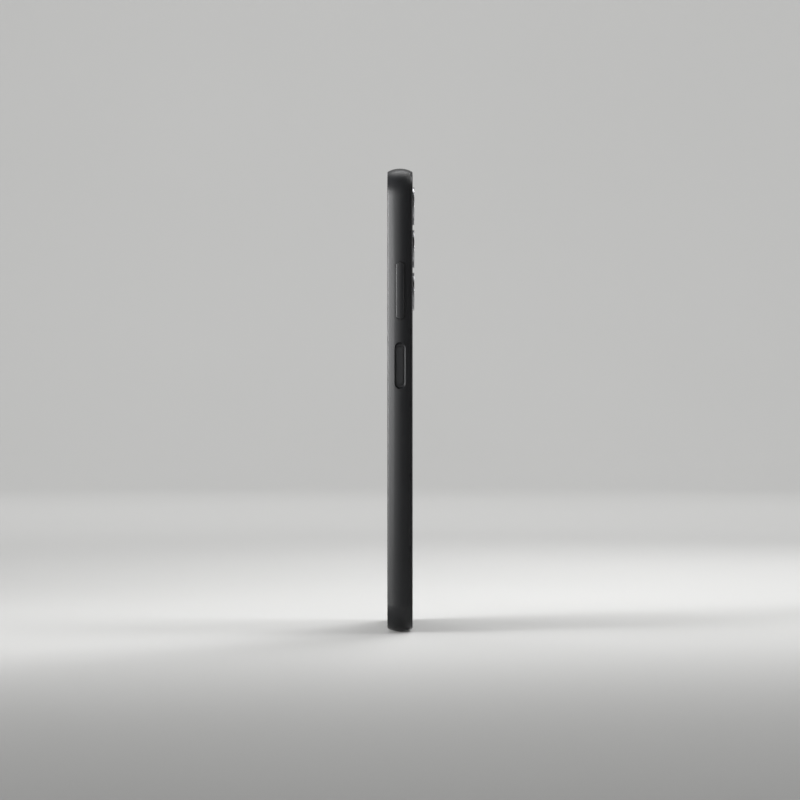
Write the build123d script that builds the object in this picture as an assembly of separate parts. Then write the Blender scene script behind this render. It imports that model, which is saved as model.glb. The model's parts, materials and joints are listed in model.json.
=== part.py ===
from build123d import *

import os
from math import sqrt

# Touch-screen smartphone with three rear cameras, as an assembly of the pieces it comes apart into.
# Millimetres. The origin is the middle of the bottom end. +Z runs up the phone, -Y points out of the
# display, +Y out of the back, and +X out of the side that carries the volume and power keys.

# ---------------------------------------------------------------- driving dimensions
HEIGHT = 167.0
WIDTH = 78.0
THICKNESS = 9.1
CORNER_R = 10.0  # corners seen from the front
SIDE_CROWN_R = 9.3  # bulge of the sides, seen end on
EDGE_R = 0.6  # where the sides meet the front and back faces
WALL = 2.4  # side wall of the frame
SEAM = 0.06  # visible gap between the outer pieces

HOOK_HALF_WIDTH, HOOK_ARM, HOOK_REACH = 1.2, 0.9, 0.33
HOOK_TOOTH, HOOK_POCKET = (3.0, 3.35), (2.9, 3.45)  # from front to back

GLASS_T = 0.55
GLASS_INSET = 1.85  # the frame's lip, with its rounded edge, is this wide round the glass
LIP_SUNK = 0.03  # how far the lip stays below the face of the glass
COVER_T = 0.8
BOND_T = 0.04  # border ink and clear bonding layer behind the glass
TAPE_T = 0.11
PANEL_T = 1.36
PLATE_T = 0.5
BOARD_T = 0.8
BOARD_X, BOARD_Z = (-35.6, 17.6), (112.0, 163.4)
SUB_BOARD_X, SUB_BOARD_Z = (-35.9, 8.8), (2.7, 21.0)
FLEX_T = 0.15
CONNECTOR_T = 0.7

CAMERA_PITCH = 15.45
CAMERA_EDGE = 13.4  # from the side and from the top to the first camera
RING_R = 6.9
RING_PROUD = 0.65
WINDOW_R = 5.52

VOLUME_Z, VOLUME_LENGTH, VOLUME_WIDTH = 122.7, 20.6, 2.8
VOLUME_PROUD, VOLUME_CROWN_R = 0.45, 5.0
POWER_Z, POWER_LENGTH, POWER_WIDTH, POWER_SUNK = 95.8, 13.8, 2.4, 0.78
KEY_GAP = 0.1
DISH_SLOPE = 36.0  # degrees from square to the side, of the walls round the power key
DISH_LONGER, DISH_WIDER = 1.8, 0.7  # the dish's floor, beyond the key

# the key parts stack up outwards along X: bracket, flex strip, switches, then the keys' flanges
BRACKET_X, STRIP_X, SWITCH_TOP, DOME_TOP = (34.3, 34.9), (34.9, 35.05), 35.5, 35.68
VOLUME_FLANGE_X, POWER_FLANGE_X, SENSOR_TOP = (35.9, 36.3), (36.1, 36.5), 37.8
STRIP_HALF_WIDTH, STRIP_Z, STRIP_TAIL_Z = 1.4, (88.0, 135.5), (112.9, 115.8)
BRACKET_Z, BRACKET_T = (86.6, 136.8), 0.6
SENSOR_HALF_WIDTH, SENSOR_HALF_LENGTH, SENSOR_GAP = 0.8, 5.9, 0.02

SIM_Z, SIM_WIDTH, SIM_LENGTH = 127.5, 12.8, 30.8
DOOR_Y, DOOR_Z, DOOR_LENGTH, DOOR_WIDTH = 1.5, 128.7, 16.6, 2.5
DOOR_BACK_X, DOOR_GAP = -37.6, 0.2
EJECT_Z, EJECT_HOLE_R = 135.4, 0.5
ROD_R, ROD_GUIDE_R = 0.4, 0.5

PORT_Y = 0.5  # the sockets in the bottom end share this line
USB_WIDTH, USB_HEIGHT, USB_WALL = 8.94, 3.16, 0.3
JACK_X, JACK_BORE_R, JACK_BARREL_R, JACK_MOUTH_Z, JACK_END_Z = -22.0, 1.8, 2.35, 0.6, 14.35
MIC_HOLE_R = 0.55
BOTTOM_MIC_X, TOP_MIC_X = 7.4, 9.0
SPEAKER_SLOTS_X = [13.0 + 3.6 * i for i in range(5)]

MOTOR_X, MOTOR_Z, MOTOR_R = -31.0, 13.0, 4.0

# ---------------------------------------------------------------- levels worked out from them
HALF_W = WIDTH / 2
MID_Z = HEIGHT / 2
FRONT, BACK = -THICKNESS / 2, THICKNESS / 2
GLASS_BACK = FRONT + GLASS_T
FRAME_FRONT = FRONT + LIP_SUNK
COVER_INNER = BACK - COVER_T
FRAME_BACK = COVER_INNER - SEAM
PANEL_FRONT = GLASS_BACK + BOND_T
TAPE_BACK = PANEL_FRONT + TAPE_T
PANEL_BACK = PANEL_FRONT + PANEL_T
PLATE_FRONT = PANEL_BACK + 0.2
FLOOR = PLATE_FRONT + PLATE_T  # what the inner pieces stand on
BOARD_FRONT = FLOOR + 2.0
BOARD_BACK = BOARD_FRONT + BOARD_T
FLEX_Y = BOARD_BACK + CONNECTOR_T + FLEX_T / 2
INNER_COVER = (2.85, 3.55)
SCREW_HEAD = (3.1, 3.5)
CAVITY_X = HALF_W - WALL
CAVITY_TOP = HEIGHT - WALL
RING_TOP = BACK + RING_PROUD
LEDGE = BACK - 0.2  # what the lens windows sit on, a layer of ink between
WINDOW = (LEDGE + 0.03, RING_TOP - 0.15)
CAMERA_X = HALF_W - CAMERA_EDGE
CAMERA_Z = [HEIGHT - CAMERA_EDGE - CAMERA_PITCH * i for i in range(3)]
CAMERA_SIDES = (10.8, 8.4, 6.8)
CAMERA_SOCKET_X = (10.8, 14.4)
CAN_BACK, CAN_SKIN, BARREL_BACK = 3.3, 0.4, 3.35
WIDE_BARREL_R, MACRO_BARREL_R = 3.0, 2.2
FLASH_X, FLASH_Z, FLASH_HOLE_R, FLASH_GAP = 11.6, (CAMERA_Z[0] + CAMERA_Z[1]) / 2, 2.25, 0.05
SELFIE_X, SELFIE_Z = 0.0, 159.4
EARPIECE_Z = 164.0
TRAY_TAIL = DOOR_BACK_X + SIM_LENGTH
TRAY_Y = (1.15, 2.05)

UPPER_SCREWS = [
    (-33.3, 114.7), (-33.3, 141.2), (-30.3, 158.6), (-5.5, 154.8),
    (14.4, 160.2), (14.6, 115.0), (-1.6, 114.8), (20.6, 114.3),
]
LOWER_SCREWS = [(-12.2, 9.5), (-33.8, 19.6), (6.6, 17.6)]
SPEAKER_SCREWS = [(12.0, 18.6), (33.9, 18.6)]
SPEAKER_EAR = (2.2, 2.85)
BOSS_R, SCREW_R, SCREW_HOLE_R = 1.9, 0.68, 0.75


# ---------------------------------------------------------------- shape helpers
def block(x, y, z):
    """A box from its low and high ends along each axis."""
    middle = [(a + b) / 2 for a, b in (x, y, z)]
    return Pos(*middle) * Box(x[1] - x[0], y[1] - y[0], z[1] - z[0])


def slab(outline, front, back):
    """An outline drawn in (x, z), from y = front to y = back."""
    return extrude(Plane.XZ.offset(-front) * outline, amount=front - back)


def across(outline, low, high):
    """An outline drawn in (y, z), from x = low to x = high."""
    return extrude(Plane.YZ.offset(low) * outline, amount=high - low)


def upright(outline, low, high):
    """An outline drawn in (x, y), from z = low to z = high."""
    return extrude(Plane.XY.offset(low) * outline, amount=high - low)


def disc(x, z, radius, front, back):
    return slab(Pos(x, z) * Circle(radius), front, back)


def ring(x, z, outer, inner, front, back):
    return disc(x, z, outer, front, back) - disc(x, z, inner, front, back)


def square(x, z, side, corner, front, back):
    return slab(Pos(x, z) * RectangleRounded(side, side, corner), front, back)


def plate(x, z, corner, front, back):
    """A plate with rounded corners from its ends along x and z."""
    outline = RectangleRounded(x[1] - x[0], z[1] - z[0], corner)
    return slab(Pos(sum(x) / 2, sum(z) / 2) * outline, front, back)


def key_pill(y, z, length, width, low, high):
    """A pill that stands along Z in a side wall."""
    return across(Pos(y, z) * Rot(0, 0, 90) * SlotOverall(length, width), low, high)


def port_pill(x, width, height, low, high):
    """A pill that lies along X in the bottom end."""
    return upright(Pos(x, PORT_Y) * SlotOverall(width, height), low, high)


def ribbon(points, x, bend=0.5, thickness=FLEX_T):
    """A flat flex cable between x[0] and x[1] along points given as (y, z)."""
    middle = sum(x) / 2
    path = FilletPolyline(*[(middle, y, z) for y, z in points], radius=bend)
    start = Plane(origin=path @ 0, x_dir=(1, 0, 0), z_dir=path % 0)
    return sweep(start * Rectangle(x[1] - x[0], thickness), path=path)


def crown(y):
    """How far the side has curved in at a distance y from mid thickness."""
    return SIDE_CROWN_R - sqrt(SIDE_CROWN_R**2 - y**2)


def envelope():
    """The whole outside of the phone."""
    half = THICKNESS / 2
    shoulder, depth = crown(half), 6.0
    outline = [
        ThreePointArc((-half, shoulder), (0, 0), (half, shoulder)),
        Polyline((half, shoulder), (half, depth), (-half, depth), (-half, shoulder)),
    ]
    section = make_face(outline)
    corners = [v for v in section.vertices() if v.Y < depth - 1]
    section = Plane.YZ * fillet(corners, EDGE_R)
    right_half = [(0, 0, 0), (HALF_W, 0, 0), (HALF_W, 0, HEIGHT), (0, 0, HEIGHT)]
    rim = sweep(section, path=FilletPolyline(*right_half, radius=CORNER_R))
    core = slab(Pos(0, MID_Z) * RectangleRounded(WIDTH - 8, HEIGHT - 8, CORNER_R - 4), FRONT, BACK)
    return rim + mirror(rim, about=Plane.YZ) + core


def cavity(front, back, inset=0.0):
    """The space inside the frame's walls, less an inset."""
    lost = 2 * (WALL + inset)
    corner = CORNER_R - WALL - inset
    return slab(Pos(0, MID_Z) * RectangleRounded(WIDTH - lost, HEIGHT - lost, corner), front, back)


def rim_slab(inset, front, back):
    """The phone's outline, moved in by inset, as a plain slab."""
    outline = RectangleRounded(WIDTH - 2 * inset, HEIGHT - 2 * inset, CORNER_R - inset)
    return slab(Pos(0, MID_Z) * outline, front, back)


def group(pieces):
    """Separate solids that share one node."""
    return Compound(children=[solid for piece in pieces for solid in piece.solids()])


BODY = envelope()


# ---------------------------------------------------------------- outer shells
def hook_places():
    """Where the back cover's hooks clip in: (x, z, outward direction)."""
    right = [(CAVITY_X, z, (1, 0)) for z in (30, 56, 82, 108, 143)]
    left = [(-CAVITY_X, z, (-1, 0)) for z in (30, 56, 82, 108, 148)]
    ends = [(x, z, (0, d)) for z, d in ((WALL, -1), (CAVITY_TOP, 1)) for x in (-20, 20)]
    return right + left + ends


def hook_block(place, half_width, inward, outward, front, back):
    """A block on the cavity wall at a hook, from inward of the wall's face to outward of it."""
    x, z, (dx, dz) = place
    if dx:
        ends = sorted((x - dx * inward, x + dx * outward))
        return block(ends, (front, back), (z - half_width, z + half_width))
    ends = sorted((z - dz * inward, z + dz * outward))
    return block((x - half_width, x + half_width), (front, back), ends)


def outer_frame():
    """The moulded ring that makes the four sides."""
    frame = BODY & block((-HALF_W, HALF_W), (FRAME_FRONT, FRAME_BACK), (0, HEIGHT))
    frame -= cavity(FRAME_FRONT, FRAME_BACK)
    frame -= rim_slab(GLASS_INSET - SEAM, FRAME_FRONT, TAPE_BACK)
    pocket = (HOOK_HALF_WIDTH + 0.2, 0.1, HOOK_REACH + 0.12)
    frame -= [hook_block(p, *pocket, *HOOK_POCKET) for p in hook_places()]
    # volume key slot, and the power key's slot at the bottom of a dish with sloping sides
    inner, outer = CAVITY_X - 0.1, HALF_W + 1
    gap = 2 * KEY_GAP
    frame -= key_pill(0, VOLUME_Z, VOLUME_LENGTH + gap, VOLUME_WIDTH + gap, inner, outer)
    frame -= key_pill(0, POWER_Z, POWER_LENGTH + gap, POWER_WIDTH + gap, inner, outer)
    dish_x = HALF_W - POWER_SUNK - 0.1
    dish = Rot(0, 0, 90) * SlotOverall(POWER_LENGTH + DISH_LONGER, POWER_WIDTH + DISH_WIDER)
    frame -= extrude(Plane.YZ.offset(dish_x) * Pos(0, POWER_Z) * dish, amount=1.2, taper=-DISH_SLOPE)
    # SIM tray: the door's seat, the tray's tunnel and the eject hole
    seat = DOOR_BACK_X + DOOR_GAP
    frame -= key_pill(DOOR_Y, DOOR_Z, DOOR_LENGTH + gap, DOOR_WIDTH + gap, -outer, seat)
    half_tunnel = SIM_WIDTH / 2 + KEY_GAP
    tunnel_y = (TRAY_Y[0] - KEY_GAP, TRAY_Y[1] + KEY_GAP)
    frame -= block((seat - 0.1, -inner), tunnel_y, (SIM_Z - half_tunnel, SIM_Z + half_tunnel))
    frame -= across(Pos(DOOR_Y, EJECT_Z) * Circle(EJECT_HOLE_R), seat - 0.1, -inner)
    # bottom end: USB-C, headphone jack, microphone and loudspeaker
    frame -= port_pill(0, USB_WIDTH + 0.2, USB_HEIGHT + 0.2, -1, WALL + 0.1)
    frame -= upright(Pos(JACK_X, PORT_Y) * Circle(JACK_BARREL_R + 0.08), -1, WALL + 0.1)
    frame -= upright(Pos(BOTTOM_MIC_X, PORT_Y) * Circle(MIC_HOLE_R), -1, WALL + 0.1)
    frame -= [port_pill(x, 2.4, 1.2, -1, WALL + 0.1) for x in SPEAKER_SLOTS_X]
    # top end: second microphone
    frame -= upright(Pos(TOP_MIC_X, PORT_Y) * Circle(MIC_HOLE_R), CAVITY_TOP - 0.1, HEIGHT + 1)
    return frame


def back_cover():
    """The clip-on back, with its hooks and the openings for the lenses."""
    cover = BODY & block((-HALF_W, HALF_W), (COVER_INNER, BACK), (0, HEIGHT))
    arm = (HOOK_TOOTH[0] - 0.05, COVER_INNER + 0.1)
    cover += [hook_block(p, HOOK_HALF_WIDTH, HOOK_ARM, -0.1, *arm) for p in hook_places()]
    cover += [hook_block(p, HOOK_HALF_WIDTH, 0.2, HOOK_REACH, *HOOK_TOOTH) for p in hook_places()]
    cover -= [disc(CAMERA_X, z, RING_R - 0.55, COVER_INNER, BACK) for z in CAMERA_Z]
    return cover - disc(FLASH_X, FLASH_Z, FLASH_HOLE_R, COVER_INNER, BACK)


def camera_ring(z):
    """The metal trim that frames one rear lens."""
    trim = disc(CAMERA_X, z, RING_R, BACK, RING_TOP)
    trim = fillet(trim.edges().group_by(Axis.Y)[-1], 0.2)
    trim += disc(CAMERA_X, z, RING_R - 0.6, COVER_INNER, BACK)
    trim -= disc(CAMERA_X, z, 4.6, COVER_INNER, LEDGE)
    return trim - disc(CAMERA_X, z, WINDOW_R + 0.08, LEDGE, RING_TOP)


def lens_window(z):
    window = disc(CAMERA_X, z, WINDOW_R, *WINDOW)
    return chamfer(window.edges().group_by(Axis.Y)[-1], 0.12)


def flash_window():
    """Clear light guide over the flash, level with the cover."""
    guide = disc(FLASH_X, FLASH_Z, FLASH_HOLE_R - FLASH_GAP, COVER_INNER + 0.1, BACK)
    return guide + disc(FLASH_X, FLASH_Z, 1.8, BOARD_BACK + 1.1, COVER_INNER + 0.1)


# ---------------------------------------------------------------- display side
def cover_glass():
    glass = rim_slab(GLASS_INSET, FRONT, GLASS_BACK)
    glass = fillet(glass.edges().group_by(Axis.Y)[0], 0.15)
    return glass - slab(Pos(0, EARPIECE_Z) * SlotOverall(11.0, 0.7), FRONT, GLASS_BACK)


def display_adhesive():
    outer = rim_slab(GLASS_INSET + 0.05, PANEL_FRONT, TAPE_BACK)
    return outer - rim_slab(WALL - 0.1, PANEL_FRONT, TAPE_BACK)


def display_panel():
    panel = plate((-36.2, 36.2), (7.0, 164.2), 7.2, PANEL_FRONT, PANEL_BACK)
    panel -= disc(SELFIE_X, SELFIE_Z, 2.3, PANEL_FRONT, PANEL_BACK)
    return panel - block((-6, 6), (PANEL_FRONT, PANEL_BACK), (163.4, 164.3))


def display_flex():
    """Runs behind the panel, up through the chassis and folds onto the lower board."""
    route = [(PANEL_BACK + 0.1, 12.0), (PANEL_BACK + 0.1, 22.2), (FLEX_Y, 22.2), (FLEX_Y, 17.4)]
    return ribbon(route, (-7.8, 3.8), thickness=0.12)


def earpiece_mesh():
    return slab(Pos(0, EARPIECE_Z) * SlotOverall(10.8, 0.56), FRONT + 0.15, GLASS_BACK)


def earpiece_receiver():
    can = plate((-20, -8.6), (156.2, 161.6), 1.0, FLOOR, BOARD_FRONT - 0.1)
    return can - plate((-18.6, -10), (157.4, 160.4), 0.8, FLOOR, FLOOR + 0.3)


def front_camera():
    body = square(SELFIE_X, SELFIE_Z, 6.6, 0.5, PANEL_BACK + 0.1, BOARD_FRONT - 0.2)
    barrel = disc(SELFIE_X, SELFIE_Z, 2.0, GLASS_BACK + 0.05, PANEL_BACK + 0.1)
    pupil = disc(SELFIE_X, SELFIE_Z, 0.8, GLASS_BACK + 0.05, GLASS_BACK + 0.45)
    return body + barrel - pupil


# ---------------------------------------------------------------- chassis and inner covers
def chassis_plate():
    """The metal plate inside the frame, with a boss under every screw."""
    chassis = cavity(PLATE_FRONT, FLOOR)
    chassis += [disc(x, z, BOSS_R, FLOOR, BOARD_FRONT) for x, z in UPPER_SCREWS + LOWER_SCREWS]
    chassis += [disc(x, z, BOSS_R, FLOOR, SPEAKER_EAR[0]) for x, z in SPEAKER_SCREWS]
    every_screw = UPPER_SCREWS + LOWER_SCREWS + SPEAKER_SCREWS
    chassis -= [disc(x, z, SCREW_R + 0.02, FLOOR + 0.2, SPEAKER_EAR[0]) for x, z in every_screw]
    chassis -= square(SELFIE_X, SELFIE_Z, 7.2, 0.6, PLATE_FRONT, FLOOR)
    # room for the display's flex, the earpiece's sound and the volume key's flange
    chassis -= plate((-8.3, 4.3), (21.5, 22.9), 0.5, PLATE_FRONT, FLOOR)
    chassis -= plate((-18, -10), (162.0, 163.6), 0.5, PLATE_FRONT, FLOOR)
    flange = VOLUME_LENGTH / 2 + 1.3
    return chassis - block((35.5, HALF_W), (PLATE_FRONT, FLOOR), (VOLUME_Z - flange, VOLUME_Z + flange))


def inner_cover(panel, screws):
    """Screws a plastic cover down onto a board, through a boss at each screw."""
    panel += [disc(x, z, BOSS_R, BOARD_BACK, INNER_COVER[0]) for x, z in screws]
    panel -= [disc(x, z, SCREW_HOLE_R, BOARD_BACK, INNER_COVER[1]) for x, z in screws]
    return panel - [disc(x, z, 1.5, SCREW_HEAD[0], INNER_COVER[1]) for x, z in screws]


def upper_inner_cover():
    panel = plate((-35.2, 35.2), (110.8, 163.3), 6.2, *INNER_COVER)
    for z, side in zip(CAMERA_Z, (11.8, 9.2, 7.6)):
        panel -= square(CAMERA_X, z, side, 0.8, *INNER_COVER)
    panel -= disc(FLASH_X, FLASH_Z, 2.1, *INNER_COVER)
    # contact windows and a stiffening groove pattern moulded into the outside
    panel -= [plate((-28, -6), (z, z + 1.2), 0.5, 3.3, INNER_COVER[1]) for z in (145, 148, 151)]
    return inner_cover(panel, UPPER_SCREWS)


def lower_inner_cover():
    panel = plate((-35.2, 8.9), (3.7, 21.2), 0.8, *INNER_COVER) & cavity(*INNER_COVER, inset=1.3)
    panel -= plate((-30, -24), (17.6, 20.2), 0.5, *INNER_COVER)
    return inner_cover(panel, LOWER_SCREWS)


def screw(x, z, head, tip):
    """A cross-head machine screw with its head between the two head levels."""
    body = disc(x, z, 1.3, *head) + disc(x, z, SCREW_R, tip, head[0])
    slot = (head[1] - 0.2, head[1])
    long, wide = 0.7, 0.14
    body -= block((x - long, x + long), slot, (z - wide, z + wide))
    return body - block((x - wide, x + wide), slot, (z - long, z + long))


def case_screws():
    covers = [screw(x, z, SCREW_HEAD, FLOOR + 0.4) for x, z in UPPER_SCREWS + LOWER_SCREWS]
    top = SPEAKER_EAR[1]
    return group(covers + [screw(x, z, (top, top + 0.4), FLOOR + 0.8) for x, z in SPEAKER_SCREWS])


# ---------------------------------------------------------------- rear cameras
def main_camera_base():
    """Sensor board with the filter glass over the sensor."""
    base = square(CAMERA_X, CAMERA_Z[0], 11.4, 0.4, FLOOR, FLOOR + 0.5)
    return base + square(CAMERA_X, CAMERA_Z[0], 7.0, 0.3, FLOOR + 0.5, FLOOR + 0.8)


def main_camera_can():
    side, low = CAMERA_SIDES[0], FLOOR + 0.5
    can = square(CAMERA_X, CAMERA_Z[0], side, 0.8, low, CAN_BACK)
    can -= square(CAMERA_X, CAMERA_Z[0], side - 2 * CAN_SKIN, 0.5, low, CAN_BACK - CAN_SKIN)
    return can - disc(CAMERA_X, CAMERA_Z[0], 3.8, CAN_BACK - CAN_SKIN, CAN_BACK)


def main_lens_barrel():
    """The barrel and its coil carrier, which move together to focus."""
    lens = disc(CAMERA_X, CAMERA_Z[0], 3.5, FLOOR + 1.1, BARREL_BACK)
    lens += square(CAMERA_X, CAMERA_Z[0], 8.6, 1.2, FLOOR + 1.5, 2.1)
    step = BARREL_BACK - 0.2
    lens -= disc(CAMERA_X, CAMERA_Z[0], 2.6, step, BARREL_BACK)
    return lens - disc(CAMERA_X, CAMERA_Z[0], 1.9, step - 0.3, step)


def fixed_camera(z, side, barrel_r):
    """A square body and a barrel whose mouth narrows in a step."""
    shoulder, step, mouth = 3.0, 3.25, 3.5
    body = square(CAMERA_X, z, side, 0.6, FLOOR, shoulder)
    body += disc(CAMERA_X, z, barrel_r, shoulder, mouth)
    body -= disc(CAMERA_X, z, barrel_r - 0.7, step, mouth)
    return body - disc(CAMERA_X, z, barrel_r - 1.3, shoulder, step)


def camera_gaskets():
    """Foam rings that seal each camera against its window."""
    sizes = ((4.5, 3.85, 3.3), (4.1, 3.3, 3.0), (3.35, 2.5, 3.0))
    return group(
        ring(CAMERA_X, z, outer, inner, low, LEDGE)
        for z, (outer, inner, low) in zip(CAMERA_Z, sizes)
    )


def camera_flexes():
    """A strip from each camera to its socket, with a stiffener over the socket."""
    flexes = []
    for z, side in zip(CAMERA_Z, CAMERA_SIDES):
        level = (FLEX_Y - FLEX_T / 2, FLEX_Y + FLEX_T / 2)
        strip = block((CAMERA_SOCKET_X[0], CAMERA_X - side / 2), level, (z - 2.2, z + 2.2))
        stiffener = block(CAMERA_SOCKET_X, (level[1], level[1] + 0.15), (z - 2.4, z + 2.4))
        flexes.append(strip + stiffener)
    return group(flexes)


# ---------------------------------------------------------------- boards
def main_board():
    """L-shaped board, clear of the cameras."""
    left, right = BOARD_X
    bottom, top = BOARD_Z
    level = (BOARD_FRONT, BOARD_BACK)
    board = plate(BOARD_X, BOARD_Z, 6.0, *level)
    board += plate((left, 33.4), (bottom, bottom + 4.6), 0.8, *level)
    board += block((left, -25), level, (bottom + 0.8, 122))
    board += block((right - 6, right), level, (150, top))
    return board - [disc(x, z, SCREW_HOLE_R, *level) for x, z in UPPER_SCREWS]


def shield_can(x, z, base, top):
    """A thin metal can over chips, open on the side that stands on the board."""
    low, high = sorted((base, top))
    can = plate(x, z, 0.8, low, high)
    skin = 0.2
    inner = (low, high - skin) if base < top else (low + skin, high)
    return can - plate((x[0] + skin, x[1] - skin), (z[0] + skin, z[1] - skin), 0.6, *inner)


def board_chips():
    """Processor, memory, power manager and modem."""
    front = (BOARD_FRONT - 0.9, BOARD_FRONT)
    back = (BOARD_BACK, BOARD_BACK + 0.8)
    places = [
        ((-29, -17), (132, 144), front), ((-29, -17.5), (119.5, 130), front),
        ((-14.5, -8), (134, 140.5), front), ((-14, -9), (121, 128), front),
        ((-1, 6), (124, 131), back), ((-0.5, 4), (138, 142.5), back),
    ]
    return group(plate(x, z, 0.3, *level) for x, z, level in places)


def board_connectors():
    """Board-to-board sockets, and the two small coaxial ones."""
    level = (BOARD_BACK, BOARD_BACK + CONNECTOR_T)
    places = [(CAMERA_SOCKET_X, (z - 2.4, z + 2.4)) for z in CAMERA_Z]
    places += [((26, 30), (112.9, 115.8)), ((-20, -10), (113.2, 116.6)), ((3.2, 8.8), (113.2, 116.6))]
    places += [((-20, -10), (17.4, 20.4)), ((-7.8, 3.8), (17.2, 20.2))]
    sockets = [block(x, level, z) for x, z in places]
    return group(sockets + [disc(x, z, 1.0, *level) for x, z in ((-28.6, 19.4), (-27.5, 114.2))])


def sub_board():
    """Small board at the bottom, cut out round the USB-C shell, the jack and the motor."""
    level = (BOARD_FRONT, BOARD_BACK)
    board = plate(SUB_BOARD_X, SUB_BOARD_Z, 0.6, *level) & cavity(*level, inset=0.3)
    board -= block((-5.6, 5.6), level, (0, 7.9))
    board -= block((JACK_X - 3.4, JACK_X + 3.4), level, (0, 16.1))
    board -= disc(MOTOR_X, MOTOR_Z, MOTOR_R + 0.3, *level)
    return board - [disc(x, z, SCREW_HOLE_R, *level) for x, z in LOWER_SCREWS]


def flash_led():
    return square(FLASH_X, FLASH_Z, 3.8, 0.3, BOARD_BACK, BOARD_BACK + 1.0)


def microphones():
    level = (BOARD_BACK, BOARD_BACK + 1.0)
    lower = block((5.9, 8.6), level, (3.2, 6.6))
    return group([lower, block((TOP_MIC_X - 1.4, TOP_MIC_X + 1.4), level, (159.6, 163.2))])


# ---------------------------------------------------------------- battery and cables
BATTERY_Z = (23.5, 108.5)


def battery_cell():
    """Pouch cell with rounded long edges."""
    cell = block((-33, 33), (FLOOR + 0.1, 2.8), BATTERY_Z)
    return fillet(cell.edges().filter_by(Axis.Z), 1.3)


def battery_protection_board():
    return plate((-28, 9), (BATTERY_Z[1], 111.3), 0.4, FLOOR + 0.2, 0.6)


def battery_flex():
    return ribbon([(0.68, 109.4), (0.68, 110.7), (FLEX_Y, 112.2), (FLEX_Y, 116.4)], (3.2, 8.8))


def main_flex():
    """Joins the two boards over the back of the battery."""
    over = 2.93
    route = [(FLEX_Y, 17.6), (FLEX_Y, 21.2), (over, 22.9), (over, 109.0), (FLEX_Y, 110.9), (FLEX_Y, 116.4)]
    return ribbon(route, (-19.8, -10.2))


def antenna_coax():
    """Micro-coaxial lead held in the channel beside the battery."""
    radius, level, side = 0.4, 1.45, -34.7
    route = [(-28.6, 20.4), (-28.6, 22.4), (side, 22.8), (side, 109.6), (-27.5, 110.8), (-27.5, 113.2)]
    path = FilletPolyline(*[(x, level, z) for x, z in route], radius=[1.4, 1.8, 1.8, 1.4])
    return sweep(Plane(origin=path @ 0, z_dir=path % 0) * Circle(radius), path=path)


# ---------------------------------------------------------------- sockets, loudspeaker and motor
def usb_c_shell():
    shell = port_pill(0, USB_WIDTH, USB_HEIGHT, 0.35, 7.6)
    return shell - port_pill(0, USB_WIDTH - 2 * USB_WALL, USB_HEIGHT - 2 * USB_WALL, 0.35, 7.6)


def usb_c_tongue():
    loose = 2 * (USB_WALL + 0.02)
    base = port_pill(0, USB_WIDTH - loose, USB_HEIGHT - loose, 6.5, 7.6)
    tongue = block((-3.35, 3.35), (PORT_Y - 0.35, PORT_Y + 0.35), (1.1, 6.5))
    return base + chamfer(tongue.edges().group_by(Axis.Z)[0], 0.12)


def usb_c_seal():
    seal = port_pill(0, 10.6, 4.5, WALL, WALL + 0.7)
    return seal - port_pill(0, USB_WIDTH + 0.06, USB_HEIGHT + 0.06, WALL, WALL + 0.7)


def headphone_jack():
    jack = block((JACK_X - 3.1, JACK_X + 3.1), (PORT_Y - 2.3, PORT_Y + 2.3), (2.5, 15.8))
    jack += upright(Pos(JACK_X, PORT_Y) * Circle(JACK_BARREL_R), JACK_MOUTH_Z, 2.5)
    return jack - upright(Pos(JACK_X, PORT_Y) * Circle(JACK_BORE_R), JACK_MOUTH_Z, JACK_END_Z)


def loudspeaker_mesh():
    return block((11.6, 29.0), (PORT_Y - 1.2, PORT_Y + 1.2), (WALL, WALL + 0.22))


def loudspeaker_enclosure():
    level = (FLOOR + 0.05, SPEAKER_EAR[1])
    box = block((9.6, 36.2), level, (2.7, 20.9)) & cavity(*level, inset=0.3)
    room = (level[0] + 0.8, level[1] - 0.8)
    box -= block((10.4, 35.4), room, (3.5, 16.0)) & cavity(*room, inset=1.1)
    box -= block((11.8, 28.8), (-0.5, 1.5), (2.6, 3.6))
    for x, z in SPEAKER_SCREWS:
        box -= disc(x, z, BOSS_R + 0.2, level[0], SPEAKER_EAR[0])
        box -= disc(x, z, SCREW_HOLE_R, *SPEAKER_EAR)
    return box


def loudspeaker_driver():
    """Oval moving-coil driver with a dished membrane."""
    base = FLOOR + 0.85
    driver = plate((14, 30), (4.4, 15.4), 3.5, base, base + 2.3)
    driver -= plate((15, 29), (5.4, 14.4), 2.6, base + 2.0, base + 2.3)
    return driver + plate((18, 26), (7.4, 12.4), 1.6, base + 2.0, base + 2.2)


def vibration_motor_can():
    low, high = FLOOR + 0.05, 0.85
    can = disc(MOTOR_X, MOTOR_Z, MOTOR_R, low, high)
    can -= disc(MOTOR_X, MOTOR_Z, MOTOR_R - 0.3, low + 0.2, high - 0.2)
    return can + disc(MOTOR_X, MOTOR_Z, 0.3, low, high)


def vibration_motor_rotor():
    """Half-disc weight that spins on the can's pin."""
    low, high = FLOOR + 0.5, 0.4
    weight = disc(MOTOR_X, MOTOR_Z, MOTOR_R - 0.6, low, high)
    weight -= block((MOTOR_X - 5, MOTOR_X + 5), (low, high), (MOTOR_Z, MOTOR_Z + 5))
    return weight + disc(MOTOR_X, MOTOR_Z, 1.0, low, high) - disc(MOTOR_X, MOTOR_Z, 0.35, low, high)


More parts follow.
